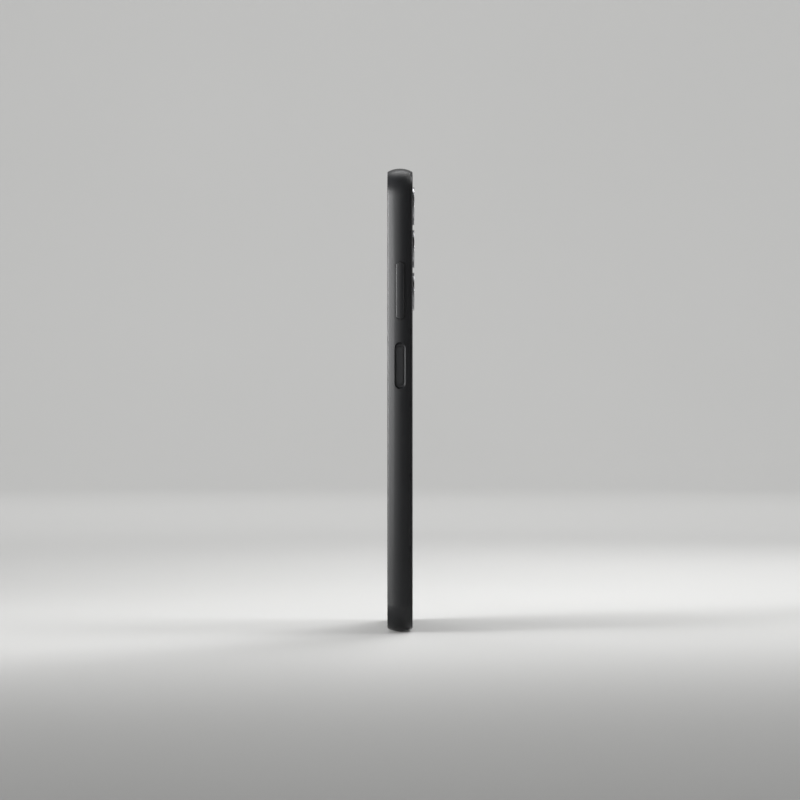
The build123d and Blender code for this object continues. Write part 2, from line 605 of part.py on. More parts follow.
# ---------------------------------------------------------------- side keys
def volume_key():
    """Rocker: a crowned pill in the slot and a wider flange behind the wall."""
    top = HALF_W + VOLUME_PROUD
    inner, outer = VOLUME_FLANGE_X
    cap = key_pill(0, VOLUME_Z, VOLUME_LENGTH, VOLUME_WIDTH, outer - 0.1, top)
    cap &= upright(Pos(top - VOLUME_CROWN_R, 0) * Circle(VOLUME_CROWN_R), 0, HEIGHT)
    rim = [e for e in cap.edges() if e.bounding_box().min.X > HALF_W]
    cap = fillet(rim, 0.2)
    return cap + key_pill(0, VOLUME_Z, VOLUME_LENGTH + 1.7, VOLUME_WIDTH + 1.2, inner, outer)


def power_key():
    """Flat key at the bottom of its dish, hollow behind for the fingerprint sensor."""
    face = HALF_W - POWER_SUNK
    inner, outer = POWER_FLANGE_X
    cap = key_pill(0, POWER_Z, POWER_LENGTH, POWER_WIDTH, inner, face)
    cap = fillet(cap.edges().group_by(Axis.X)[-1], 0.12)
    cap += key_pill(0, POWER_Z, POWER_LENGTH + 1.3, POWER_WIDTH + 1.2, inner, outer)
    return cap - sensor_block(inner - 0.1, 0)


def sensor_block(start, gap):
    """The space for the sensor behind the key's face, less a gap all round."""
    wide, long = SENSOR_HALF_WIDTH - gap, SENSOR_HALF_LENGTH - gap
    return block((start, SENSOR_TOP - gap), (-wide, wide), (POWER_Z - long, POWER_Z + long))


def fingerprint_sensor():
    """Sensor and stiffener inside the power key, with the nub that works the switch."""
    inner = POWER_FLANGE_X[0]
    chip = sensor_block(inner + SENSOR_GAP, SENSOR_GAP)
    return chip + across(Pos(0, POWER_Z) * Circle(0.75), inner - 0.1, inner + 0.1)


SWITCHES_Z = (VOLUME_Z + 7, VOLUME_Z - 7, POWER_Z)
RIDGE_X, RIDGE_R = 35.46, 0.4


def key_switches():
    switches = []
    for z in SWITCHES_Z:
        body = block((STRIP_X[1], SWITCH_TOP), (-1.2, 1.2), (z - 1.5, z + 1.5))
        switches.append(body + across(Pos(0, z) * Circle(0.7), SWITCH_TOP, DOME_TOP))
    return group(switches)


def key_flex():
    """Strip behind the keys, with a tail to the main board."""
    half = STRIP_HALF_WIDTH
    strip = block(STRIP_X, (-half, half), STRIP_Z)
    strip -= block(STRIP_X, (-0.9, 0.9), (VOLUME_Z - 0.6, VOLUME_Z + 0.6))
    level = (FLEX_Y - FLEX_T / 2, FLEX_Y + FLEX_T / 2)
    tail = block((26.0, STRIP_X[1]), level, STRIP_TAIL_Z)
    return strip + block(STRIP_X, (half, level[1]), STRIP_TAIL_Z) + tail


def key_bracket():
    """Steel strip that backs the switches, with the round-topped ridge the rocker pivots on."""
    width = (-STRIP_HALF_WIDTH, STRIP_HALF_WIDTH)
    face = BRACKET_X[1]
    strip = block(BRACKET_X, width, BRACKET_Z)
    strip += block((face, RIDGE_X), (-0.8, 0.8), (VOLUME_Z - RIDGE_R, VOLUME_Z + RIDGE_R))
    strip += disc(RIDGE_X, VOLUME_Z, RIDGE_R, -0.8, 0.8)
    feet = (BRACKET_Z[0], BRACKET_Z[1] - BRACKET_T)
    return strip + [block((face, CAVITY_X), width, (z, z + BRACKET_T)) for z in feet]


# ---------------------------------------------------------------- SIM tray and its ejector
LEVER_X, LEVER_Z = -5.3, 131.6


def card_pocket(x, z_half):
    """A pocket for one card, with a window through its floor."""
    pocket = block(x, (TRAY_Y[0] + 0.2, TRAY_Y[1]), (SIM_Z - z_half, SIM_Z + z_half))
    rim = 0.9
    window = block((x[0] + rim, x[1] - rim), TRAY_Y, (SIM_Z - z_half + rim, SIM_Z + z_half - rim))
    return pocket + window


def sim_tray():
    door = BODY & key_pill(DOOR_Y, DOOR_Z, DOOR_LENGTH, DOOR_WIDTH, -HALF_W - 1, DOOR_BACK_X)
    tray = block((DOOR_BACK_X, TRAY_TAIL), TRAY_Y, (SIM_Z - SIM_WIDTH / 2, SIM_Z + SIM_WIDTH / 2))
    tray = chamfer(tray.edges().filter_by(Axis.Y).group_by(Axis.X)[-1], 1.0)
    tray -= card_pocket((-36.4, -24.0), 4.45)
    tray -= card_pocket((-22.9, -7.7), 5.55)
    eject_hole = across(Pos(DOOR_Y, EJECT_Z) * Circle(EJECT_HOLE_R), -HALF_W - 1, DOOR_BACK_X + 0.1)
    return door + tray - eject_hole


def sim_tray_seal():
    """Rubber ring behind the tray's door."""
    middle = Pos(sum(TRAY_Y) / 2, SIM_Z)
    outline = middle * RectangleRounded(1.8, SIM_WIDTH + 1.1, 0.5) - middle * Rectangle(1.1, SIM_WIDTH + 0.2)
    return across(outline, DOOR_BACK_X + 0.02, DOOR_BACK_X + DOOR_GAP - 0.02)


def sim_reader():
    """Folded metal cage over the tray, with the rod's guide lugs and the lever's pivot pin."""
    x, y, z = (-35.2, -3.2), (BOARD_BACK, 2.55), (119.9, 137.0)
    cage = block(x, y, z) - block((x[0] - 1, x[1] - 0.2), (y[0] - 1, y[1] - 0.2), (z[0] + 0.2, z[1] - 0.2))
    for lug_x in (-35.0, -14.0):
        cage += block((lug_x, lug_x + 0.4), (y[0], y[1] - 0.1), (EJECT_Z - 0.8, EJECT_Z + 0.8))
    cage -= across(Pos(DOOR_Y, EJECT_Z) * Circle(ROD_GUIDE_R), x[0], -13.0)
    return cage + disc(LEVER_X, LEVER_Z, 0.4, BOARD_BACK, y[1] - 0.1)


def sim_eject_rod():
    """Starts just inside the frame's wall, where a pin through the eject hole meets it."""
    return across(Pos(DOOR_Y, EJECT_Z) * Circle(ROD_R), -CAVITY_X + 0.15, -5.98)


def sim_eject_lever():
    bar = plate((LEVER_X - 0.6, LEVER_X + 0.6), (127.0, 136.2), 0.55, 1.1, 1.9)
    return bar - disc(LEVER_X, LEVER_Z, 0.45, 1.1, 1.9)


# ---------------------------------------------------------------- assembly
def nodes():
    parts = {
        "outer_frame": outer_frame(), "back_cover": back_cover(), "flash_window": flash_window(),
        "cover_glass": cover_glass(), "display_adhesive": display_adhesive(),
        "display_panel": display_panel(), "display_flex": display_flex(),
        "earpiece_mesh": earpiece_mesh(), "earpiece_receiver": earpiece_receiver(),
        "front_camera": front_camera(), "chassis_plate": chassis_plate(),
        "upper_inner_cover": upper_inner_cover(), "lower_inner_cover": lower_inner_cover(),
        "case_screws": case_screws(), "main_camera_base": main_camera_base(),
        "main_camera_can": main_camera_can(), "main_lens_barrel": main_lens_barrel(),
        "wide_camera": fixed_camera(CAMERA_Z[1], CAMERA_SIDES[1], WIDE_BARREL_R),
        "macro_camera": fixed_camera(CAMERA_Z[2], CAMERA_SIDES[2], MACRO_BARREL_R),
        "camera_gaskets": camera_gaskets(), "camera_flexes": camera_flexes(),
        "main_board": main_board(), "board_chips": board_chips(),
        "processor_shield": shield_can((-31.2, -6), (117.2, 151.5), BOARD_FRONT, BOARD_FRONT - 1.5),
        "radio_shield": shield_can((-2.6, 9), (118, 150), BOARD_BACK, BOARD_BACK + 1.4),
        "board_connectors": board_connectors(), "sub_board": sub_board(),
        "flash_led": flash_led(), "microphones": microphones(),
        "battery_cell": battery_cell(), "battery_protection_board": battery_protection_board(),
        "battery_flex": battery_flex(), "main_flex": main_flex(), "antenna_coax": antenna_coax(),
        "usb_c_shell": usb_c_shell(), "usb_c_tongue": usb_c_tongue(), "usb_c_seal": usb_c_seal(),
        "headphone_jack": headphone_jack(), "loudspeaker_mesh": loudspeaker_mesh(),
        "loudspeaker_enclosure": loudspeaker_enclosure(), "loudspeaker_driver": loudspeaker_driver(),
        "vibration_motor_can": vibration_motor_can(), "vibration_motor_rotor": vibration_motor_rotor(),
        "volume_key": volume_key(), "power_key": power_key(),
        "fingerprint_sensor": fingerprint_sensor(), "key_switches": key_switches(),
        "key_flex": key_flex(), "key_bracket": key_bracket(),
        "sim_tray": sim_tray(), "sim_tray_seal": sim_tray_seal(), "sim_reader": sim_reader(),
        "sim_eject_rod": sim_eject_rod(), "sim_eject_lever": sim_eject_lever(),
    }
    for place, z in zip(("upper", "middle", "lower"), CAMERA_Z):
        parts[f"camera_ring_{place}"] = camera_ring(z)
        parts[f"lens_window_{place}"] = lens_window(z)
    return parts


if __name__ == "__main__":
    os.makedirs("parts", exist_ok=True)
    for name, shape in nodes().items():
        export_step(shape, f"parts/{name}.step")
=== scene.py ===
"""The looks of a smartphone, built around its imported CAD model. Metres, in the model's own frame."""

import json
import math

import bmesh
import bpy
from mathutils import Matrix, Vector


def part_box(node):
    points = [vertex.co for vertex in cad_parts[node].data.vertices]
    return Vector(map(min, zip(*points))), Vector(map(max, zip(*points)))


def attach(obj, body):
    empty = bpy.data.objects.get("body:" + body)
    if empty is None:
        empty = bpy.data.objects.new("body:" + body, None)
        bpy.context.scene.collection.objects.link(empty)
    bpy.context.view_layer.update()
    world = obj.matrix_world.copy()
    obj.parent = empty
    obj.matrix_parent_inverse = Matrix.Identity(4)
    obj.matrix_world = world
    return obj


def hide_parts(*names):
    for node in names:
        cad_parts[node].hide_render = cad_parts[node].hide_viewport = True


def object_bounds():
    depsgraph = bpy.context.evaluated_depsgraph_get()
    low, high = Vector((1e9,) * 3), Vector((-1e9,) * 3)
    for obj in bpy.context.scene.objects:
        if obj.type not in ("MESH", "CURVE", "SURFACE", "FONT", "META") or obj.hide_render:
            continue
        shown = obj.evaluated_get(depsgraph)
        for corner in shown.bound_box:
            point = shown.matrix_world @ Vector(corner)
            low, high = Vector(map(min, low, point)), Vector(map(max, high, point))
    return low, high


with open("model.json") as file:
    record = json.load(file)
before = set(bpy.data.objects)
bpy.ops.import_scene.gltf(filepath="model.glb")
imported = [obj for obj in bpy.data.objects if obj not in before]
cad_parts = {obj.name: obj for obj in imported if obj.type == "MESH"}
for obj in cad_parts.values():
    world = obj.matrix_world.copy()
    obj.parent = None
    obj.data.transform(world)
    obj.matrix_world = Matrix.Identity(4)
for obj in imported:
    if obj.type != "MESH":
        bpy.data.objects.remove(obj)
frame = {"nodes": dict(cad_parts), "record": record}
cad_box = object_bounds()

MM = 0.001
MICRON = 0.000001
ROOT = "phone_body"
NOISE_SPAN = (0.3, 0.7)  # where most of a noise texture's values lie


# ---------------------------------------------------------------- materials
class Finish:
    """A Principled material whose detail comes from nodes that read the object's own coordinates."""

    def __init__(self, name, color, roughness, **values):
        self.material = bpy.data.materials.new(name)
        self.material.use_nodes = True
        self.tree = self.material.node_tree
        self.shader = self.tree.nodes["Principled BSDF"]
        self.place = self.node("ShaderNodeTexCoord").outputs["Object"]
        self.relief = None
        self.shader.inputs["Base Color"].default_value = (*color, 1.0)
        self.shader.inputs["Roughness"].default_value = roughness
        for socket, value in values.items():
            self.shader.inputs[socket.replace("_", " ")].default_value = value

    def node(self, kind, **settings):
        made = self.tree.nodes.new(kind)
        for name, value in settings.items():
            setattr(made, name, value)
        return made

    def feed(self, socket, value):
        """Links an output to a socket, or sets the socket to a number or vector."""
        if isinstance(value, bpy.types.NodeSocket):
            self.tree.links.new(value, socket)
        else:
            socket.default_value = value

    def math(self, operation, first, second=0.0):
        made = self.node("ShaderNodeMath", operation=operation)
        self.feed(made.inputs[0], first)
        self.feed(made.inputs[1], second)
        return made.outputs[0]

    def vector(self, operation, first, second):
        made = self.node("ShaderNodeVectorMath", operation=operation)
        self.feed(made.inputs[0], first)
        self.feed(made.inputs[1], second)
        return made.outputs["Value" if operation == "LENGTH" else "Vector"]

    def noise(self, size, detail=2.0, stretch=(1, 1, 1)):
        """Noise with features of about size metres, longer along an axis with a bigger stretch."""
        made = self.node("ShaderNodeTexNoise")
        self.feed(made.inputs["Vector"], self.vector("DIVIDE", self.place, stretch))
        made.inputs["Scale"].default_value = 1 / size
        made.inputs["Detail"].default_value = detail
        return made.outputs["Fac"]

    def radius_about(self, centre):
        """Distance from a line along Y through centre."""
        offset = self.vector("SUBTRACT", self.place, centre)
        return self.vector("LENGTH", self.vector("MULTIPLY", offset, (1, 0, 1)), (0, 0, 0))

    def spread(self, factor, low, high, source=NOISE_SPAN):
        """A factor's source range, spread over low to high."""
        made = self.node("ShaderNodeMapRange")
        self.feed(made.inputs["Value"], factor)
        for name, value in zip(("From Min", "From Max", "To Min", "To Max"), (*source, low, high)):
            made.inputs[name].default_value = value
        return made.outputs["Result"]

    def blend(self, factor, dark, light):
        """A colour between two others."""
        made = self.node("ShaderNodeMix", data_type="RGBA")
        self.feed(made.inputs["Factor"], factor)
        for socket, color in ((made.inputs["A"], dark), (made.inputs["B"], light)):
            self.feed(socket, color if isinstance(color, bpy.types.NodeSocket) else (*color, 1.0))
        return made.outputs["Result"]

    def paint(self, color):
        self.feed(self.shader.inputs["Base Color"], color)

    def gloss(self, factor, low, high):
        """Roughness that follows a noise's factor from low to high."""
        self.feed(self.shader.inputs["Roughness"], self.spread(factor, low, high))

    def bump(self, height, depth):
        """Relief of about depth metres from a height of 0 to 1, on top of any relief already there."""
        made = self.node("ShaderNodeBump")
        self.feed(made.inputs["Height"], height)
        made.inputs["Distance"].default_value = depth
        if self.relief is not None:
            self.feed(made.inputs["Normal"], self.relief)
        self.relief = made.outputs["Normal"]
        self.feed(self.shader.inputs["Normal"], self.relief)


def scaled(color, share):
    """A colour made darker or lighter."""
    return tuple(channel * share for channel in color)


def centre_of(node):
    low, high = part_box(node)
    return (low + high) / 2


def lacquer(name, color, roughness):
    """Satin spray lacquer: fine dark and light flecks, a slow drift in tone, and orange peel."""
    finish = Finish(name, color, roughness, Specular_IOR_Level=0.3)
    fleck = finish.spread(finish.noise(0.09 * MM, 3.0), 0.0, 1.0)
    drift = finish.spread(finish.noise(18 * MM, 1.0), 0.0, 1.0)
    body = finish.blend(fleck, scaled(color, 0.72), scaled(color, 1.3))
    finish.paint(finish.blend(drift, body, finish.blend(fleck, scaled(color, 0.8), scaled(color, 1.42))))
    finish.gloss(finish.noise(0.8 * MM, 3.0), roughness - 0.035, roughness + 0.035)
    finish.bump(finish.noise(0.55 * MM), 1.2 * MICRON)
    finish.bump(finish.noise(0.07 * MM), 0.35 * MICRON)
    return finish.material


def moulded(name, color, roughness=0.55, grain=0.12 * MM, **values):
    """Plastic from a spark-eroded mould."""
    finish = Finish(name, color, roughness, **values)
    pits = finish.noise(grain, 4.0)
    finish.paint(finish.blend(finish.spread(pits, 0.0, 1.0), scaled(color, 0.75), scaled(color, 1.3)))
    finish.gloss(finish.noise(1.5 * MM, 2.0), roughness - 0.06, roughness + 0.06)
    finish.bump(pits, 6 * MICRON)
    return finish.material


def clear_glass(name, tint=(0.97, 0.98, 0.98), smear=0.03, index=1.5):
    """Polished glass with the faint smears of handling in its gloss."""
    finish = Finish(name, tint, 0.01, Transmission_Weight=1.0, IOR=index)
    finish.gloss(finish.noise(9 * MM, 4.0, (1, 1, 2.5)), 0.004, smear)
    finish.bump(finish.noise(26 * MM, 1.0), 0.4 * MICRON)
    return finish.material


def turned_metal(name, color, centre):
    """Anodised aluminium with the fine rings that turning leaves about a line along Y."""
    roughness, feed = 0.24, 0.09 * MM
    finish = Finish(name, color, roughness, Metallic=1.0)
    turns = finish.math("SINE", finish.math("MULTIPLY", finish.radius_about(centre), 2 * math.pi / feed))
    streak = finish.noise(0.05 * MM, 2.0)
    finish.paint(finish.blend(streak, scaled(color, 0.82), scaled(color, 1.18)))
    finish.gloss(finish.noise(0.4 * MM, 2.0), roughness - 0.04, roughness + 0.05)
    finish.bump(finish.spread(turns, 0.0, 1.0, (-1.0, 1.0)), 0.5 * MICRON)
    finish.bump(streak, 0.4 * MICRON)
    return finish.material


def brushed_metal(name, color, roughness=0.32, stretch=(1, 1, 30)):
    """Bare metal with fine lines along the biggest stretch, or an even grain where all are 1."""
    finish = Finish(name, color, roughness, Metallic=1.0)
    lines = finish.noise(0.08 * MM, 3.0, stretch)
    finish.paint(finish.blend(lines, scaled(color, 0.8), scaled(color, 1.15)))
    finish.gloss(lines, roughness - 0.08, roughness + 0.1)
    finish.bump(lines, 1.2 * MICRON)
    return finish.material


def woven_mesh(name, color):
    """Fine wire cloth: crossing wires, with painted shade in the gaps between them."""
    pitch = 0.16 * MM
    finish = Finish(name, color, 0.5, Metallic=0.3, Specular_IOR_Level=0.3)
    split = finish.node("ShaderNodeSeparateXYZ")
    finish.feed(split.inputs[0], finish.place)
    turns = 2 * math.pi / pitch
    waves = []
    for across, along in (("X", "Y"), ("Z", "X")):
        slant = finish.math("ADD", split.outputs[across], split.outputs[along])
        waves.append(finish.math("SINE", finish.math("MULTIPLY", slant, turns)))
    height = finish.spread(finish.math("MAXIMUM", *waves), 0.0, 1.0, (-0.4, 1.0))
    # painted shade: the low gaps between the wires are painted near black
    finish.paint(finish.blend(height, scaled(color, 0.08), color))
    finish.bump(height, 18 * MICRON)
    return finish.material


def foam(name, color):
    """Soft foam with small round cells."""
    finish = Finish(name, color, 0.9)
    cells = finish.node("ShaderNodeTexVoronoi")
    finish.feed(cells.inputs["Vector"], finish.place)
    cells.inputs["Scale"].default_value = 1 / (0.12 * MM)
    finish.paint(finish.blend(cells.outputs["Distance"], scaled(color, 1.6), scaled(color, 0.6)))
    finish.bump(cells.outputs["Distance"], 25 * MICRON)
    return finish.material


def silicone(name, color):
    """Matt rubber with a faint bloom."""
    finish = Finish(name, color, 0.62)
    finish.paint(finish.blend(finish.noise(0.6 * MM), scaled(color, 0.85), scaled(color, 1.2)))
    finish.gloss(finish.noise(0.3 * MM), 0.55, 0.7)
    finish.bump(finish.noise(0.1 * MM, 3.0), 2 * MICRON)
    return finish.material


def flex_film(name):
    """Amber film over copper tracks that run along the phone."""
    pitch = 0.6 * MM
    finish = Finish(name, (0.33, 0.14, 0.03), 0.3, Coat_Weight=0.4)
    split = finish.node("ShaderNodeSeparateXYZ")
    finish.feed(split.inputs[0], finish.place)
    stripes = finish.math("SINE", finish.math("MULTIPLY", split.outputs["X"], 2 * math.pi / pitch))
    tracks = finish.spread(stripes, 0.0, 1.0, (-0.2, 0.2))
    finish.paint(finish.blend(tracks, (0.24, 0.09, 0.02), (0.5, 0.24, 0.06)))
    finish.bump(tracks, 9 * MICRON)
    finish.gloss(finish.noise(2 * MM), 0.24, 0.36)
    return finish.material


def solder_mask(name):
    """Green mask over tracks and copper pours."""
    finish = Finish(name, (0.02, 0.1, 0.05), 0.4, Coat_Weight=0.3)
    tracks = finish.node("ShaderNodeTexBrick")
    finish.feed(tracks.inputs["Vector"], finish.place)
    tracks.inputs["Scale"].default_value = 220
    tracks.inputs["Mortar Size"].default_value = 0.03
    finish.paint(finish.blend(tracks.outputs["Fac"], (0.012, 0.075, 0.035), (0.04, 0.16, 0.08)))
    finish.bump(tracks.outputs["Fac"], 18 * MICRON)
    finish.gloss(finish.noise(3 * MM), 0.34, 0.48)
    return finish.material


def chip_resin(name):
    """Black moulding compound with a fine grain."""
    finish = Finish(name, (0.02, 0.02, 0.022), 0.6)
    grain = finish.noise(0.06 * MM, 4.0)
    finish.paint(finish.blend(grain, (0.012, 0.012, 0.014), (0.035, 0.035, 0.037)))
    finish.bump(grain, 5 * MICRON)
    return finish.material


def foil_pouch(name):
    """Laminated aluminium with creases along the edges."""
    finish = Finish(name, (0.5, 0.5, 0.51), 0.3, Metallic=0.9)
    crease = finish.noise(5 * MM, 5.0, (1, 1, 3))
    finish.paint(finish.blend(crease, (0.38, 0.38, 0.39), (0.6, 0.6, 0.6)))
    finish.gloss(crease, 0.24, 0.42)
    finish.bump(crease, 60 * MICRON)
    return finish.material


def flash_chip(name, centre):
    """White ceramic round a square of yellow phosphor."""
    half_side = 0.85 * MM
    finish = Finish(name, (0.8, 0.8, 0.78), 0.5)
    split = finish.node("ShaderNodeSeparateXYZ")
    finish.feed(split.inputs[0], finish.vector("SUBTRACT", finish.place, centre))
    away = [finish.math("ABSOLUTE", split.outputs[axis]) for axis in ("X", "Z")]
    ceramic = finish.spread(finish.math("MAXIMUM", *away), 0.0, 1.0, (half_side, 1.05 * half_side))
    grains = finish.noise(0.05 * MM, 3.0)
    phosphor = finish.blend(grains, (0.78, 0.56, 0.06), (0.92, 0.8, 0.25))
    finish.paint(finish.blend(ceramic, phosphor, finish.blend(grains, (0.72, 0.72, 0.7), (0.84, 0.84, 0.82))))
    finish.bump(grains, 8 * MICRON)
    return finish.material


def display_surface(name):
    """A display that is off: near black with a blue cast, and a faint drift in its polariser."""
    finish = Finish(name, (0.006, 0.0065, 0.009), 0.4, Specular_IOR_Level=0.08)
    drift = finish.noise(40 * MM, 1.0)
    grain = finish.noise(0.12 * MM, 1.0)
    panel = finish.blend(drift, (0.0052, 0.0058, 0.0082), (0.0066, 0.0072, 0.0096))
    finish.paint(finish.blend(grain, panel, (0.0064, 0.0068, 0.0094)))
    finish.gloss(drift, 0.36, 0.44)
    return finish.material


def ink(name):
    """Screen-printed black ink seen through glass."""
    finish = Finish(name, (0.0015, 0.0015, 0.0017), 0.5, Specular_IOR_Level=0.08)
    dots = finish.noise(0.2 * MM, 2.0)
    finish.paint(finish.blend(dots, (0.0011, 0.0011, 0.0013), (0.002, 0.002, 0.0022)))
    finish.gloss(dots, 0.45, 0.55)
    return finish.material


def coated_lens(name, color, film):
    """A lens element: nearly black inside, with the tinted reflection of its coating."""
    finish = Finish(name, color, 0.03, Coat_Weight=1.0, Coat_Roughness=0.01, IOR=1.7)
    finish.shader.inputs["Coat Tint"].default_value = (*film, 1.0)
    finish.paint(finish.blend(finish.noise(1.2 * MM, 1.0), scaled(color, 0.7), scaled(color, 1.3)))
    finish.gloss(finish.noise(0.5 * MM), 0.02, 0.05)
    return finish.material


def gold(name):
    """Gold plating, rubbed along Z by plugs."""
    finish = Finish(name, (0.83, 0.58, 0.22), 0.25, Metallic=1.0)
    rub = finish.noise(0.1 * MM, 3.0, (1, 1, 12))
    finish.paint(finish.blend(rub, (0.72, 0.48, 0.17), (0.9, 0.66, 0.3)))
    finish.gloss(rub, 0.18, 0.34)
    finish.bump(rub, 0.8 * MICRON)
    return finish.material


def stage_paint(name):
    """Matt pale paint."""
    finish = Finish(name, (0.45, 0.45, 0.445), 0.9, Specular_IOR_Level=0.2)
    finish.paint(finish.blend(finish.noise(0.4, 2.0), (0.44, 0.44, 0.435), (0.46, 0.46, 0.455)))
    finish.bump(finish.noise(2 * MM, 2.0), 20 * MICRON)
    return finish.material


GRAPHITE = (0.008, 0.0083, 0.009)
FINISHES = {
    "frame_plastic": lacquer("frame_lacquer", GRAPHITE, 0.36),
    "key_plastic": lacquer("key_lacquer", scaled(GRAPHITE, 1.05), 0.36),
    "cover_plastic": lacquer("cover_lacquer", scaled(GRAPHITE, 0.9), 0.34),
    "tray_door_plastic": lacquer("tray_lacquer", GRAPHITE, 0.36),
    # glass bonded or coated on its inner face reflects less there, which a lower index stands for
    "screen_glass": clear_glass("screen_glass", index=1.32),
    "window_glass": clear_glass("window_glass", smear=0.015, index=1.36),
    "flash_clear": clear_glass("flash_clear", (0.98, 0.97, 0.94), 0.08, 1.45),
    "display_stack": display_surface("display_off"),
    "foam": foam("black_foam", (0.02, 0.02, 0.02)),
    "flex_film": flex_film("flex_film"),
    "fine_mesh": woven_mesh("wire_mesh", (0.035, 0.035, 0.037)),
    "black_plastic": moulded("black_moulding", (0.02, 0.02, 0.021)),
    "stamped_steel": brushed_metal("stamped_steel", (0.5, 0.5, 0.49)),
    "motor_weight": brushed_metal("tungsten", (0.4, 0.39, 0.38), 0.45, (1, 1, 1)),
    "board_laminate": solder_mask("solder_mask"),
    "chip_black": chip_resin("chip_resin"),
    "camera_black": moulded(
        "camera_black", (0.004, 0.004, 0.0045), 0.38, 0.08 * MM, Specular_IOR_Level=0.22
    ),
    "led_phosphor": flash_chip("flash_chip", tuple(centre_of("flash_led"))),
    "battery_foil": foil_pouch("battery_pouch"),
    "seal_rubber": silicone("silicone", (0.03, 0.03, 0.031)),
}
RING_COLOR = (0.42, 0.42, 0.435)


def dress_nodes():
    """Gives every CAD node the finish of its slot in the record."""
    for part in frame["record"]["subparts"]:
        name, slot = part["node"], part["material_slot"]
        materials = frame["nodes"][name].data.materials
        materials.clear()
        if slot == "ring_metal":
            materials.append(turned_metal(f"turned_{name}", RING_COLOR, tuple(centre_of(name))))
        else:
            materials.append(FINISHES[slot])


# ---------------------------------------------------------------- mesh helpers
CREASE = 30.0  # degrees between faces, over which their edge stays sharp


def add_mesh(name, points, faces, material):
    """An object of its own with a smooth mesh, sharp only at its creases."""
    mesh = bpy.data.meshes.new(name)
    mesh.from_pydata([tuple(p) for p in points], [], faces)
    mesh.validate()
    mesh.shade_smooth()
    mesh.set_sharp_from_angle(angle=math.radians(CREASE))
    mesh.materials.append(material)
    made = bpy.data.objects.new(name, mesh)
    bpy.context.scene.collection.objects.link(made)
    return made


def turned(name, centre, profile, material, steps=96, closed=True):
    """A piece turned about a line along Y. The profile's points are (radius, y), in order round it.

    A closed profile is joined from its last point to its first. One from the line back to the line isn't.
    """
    points, rings = [], []
    for radius, y in profile:
        if radius == 0:
            rings.append([len(points)] * steps)
            points.append((centre[0], y, centre[2]))
            continue
        rings.append(list(range(len(points), len(points) + steps)))
        for i in range(steps):
            angle = 2 * math.pi * i / steps
            points.append((centre[0] + radius * math.cos(angle), y, centre[2] + radius * math.sin(angle)))
    pairs = list(zip(rings, rings[1:]))
    if closed:
        pairs.append((rings[-1], rings[0]))
    faces = []
    for a, b in pairs:
        for i in range(steps):
            j = (i + 1) % steps
            corners = [a[i], a[j], b[j], b[i]]
            face = [c for k, c in enumerate(corners) if c != corners[k - 1]]
            if len(face) > 2:
                faces.append(face)
    return add_mesh(name, points, faces, material)


def turned_upright(name, profile, steps, material):
    """A sheet turned about Z. The profile's points are (radius, z), from the middle outwards."""
    turn = [2 * math.pi * i / steps for i in range(steps)]
    points = [(r * math.cos(t), r * math.sin(t), z) for r, z in profile[1:] for t in turn]
    centre = len(points)
    points.append((0.0, 0.0, profile[0][1]))
    faces = [[centre, i, (i + 1) % steps] for i in range(steps)]
    for k in range(len(profile) - 2):
        near, far = k * steps, (k + 1) * steps
        for i in range(steps):
            j = (i + 1) % steps
            faces.append([near + i, far + i, far + j, near + j])
    return add_mesh(name, points, faces, material)


def flat_ring(inner, outer, level):
    """Profile of a flat ring between two radii and two levels."""
    return [(inner, level[0]), (outer, level[0]), (outer, level[1]), (inner, level[1])]


def rounded_outline(x, z, corner, steps=16):
    """Points round a rectangle with rounded corners, as (x, z), anticlockwise."""
    outline = []
    for k, (cx, cz) in enumerate(((x[1], z[1]), (x[0], z[1]), (x[0], z[0]), (x[1], z[0]))):
        middle = (cx + (corner if cx == x[0] else -corner), cz + (corner if cz == z[0] else -corner))
        for i in range(steps + 1):
            angle = math.pi / 2 * (k + i / steps)
            outline.append((middle[0] + corner * math.cos(angle), middle[1] + corner * math.sin(angle)))
    return outline


def frame_plate(name, outer, inner, levels, material):
    """A thin plate between two outlines with the same number of points, and between two levels on Y."""
    count = len(outer)
    points = [(x, y, z) for y in levels for outline in (outer, inner) for x, z in outline]
    loops = [list(range(k * count, (k + 1) * count)) for k in range(4)]
    faces = []
    for a, b in ((0, 1), (1, 3), (3, 2), (2, 0)):
        for i in range(count):
            j = (i + 1) % count
            faces.append([loops[a][i], loops[a][j], loops[b][j], loops[b][i]])
    return add_mesh(name, points, faces, material)


def dome(radius, rise, base, way):
    """Profile of a lens element: a shallow dome that rises from base along way on Y, with a thin rim."""
    steps, rim = 10, 0.05 * MM
    sphere = (radius**2 + rise**2) / (2 * rise)
    points = [(0.0, base), (radius, base - way * rim)]
    for i in range(steps + 1):
        r = radius * (1 - i / steps)
        points.append((r, base + way * (math.sqrt(sphere**2 - r**2) - (sphere - rise))))
    return points


def settle(piece, body):
    """Turns the piece's normals outwards and fixes it to its body."""
    shape = bmesh.new()
    shape.from_mesh(piece.data)
    bmesh.ops.recalc_face_normals(shape, faces=shape.faces)
    shape.to_mesh(piece.data)
    shape.free()
    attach(piece, body)


# ---------------------------------------------------------------- display
INK = ink("border_ink")
INK_LAYER = (8 * MICRON, 28 * MICRON)  # its two faces, measured inwards from the glass
SIDE_BORDER, TOP_BORDER, CHIN = 1.5 * MM, 1.9 * MM, 6.2 * MM
BORDER_LIP, BORDER_CORNER, ACTIVE_CORNER = 0.05 * MM, 8.1 * MM, 6.2 * MM
EYE_OPENING, EYE_INK, EYE_LENS = 1.45 * MM, 2.35 * MM, 0.76 * MM  # radii
EYE_RISE, EYE_DEPTH = 0.16 * MM, 0.12 * MM


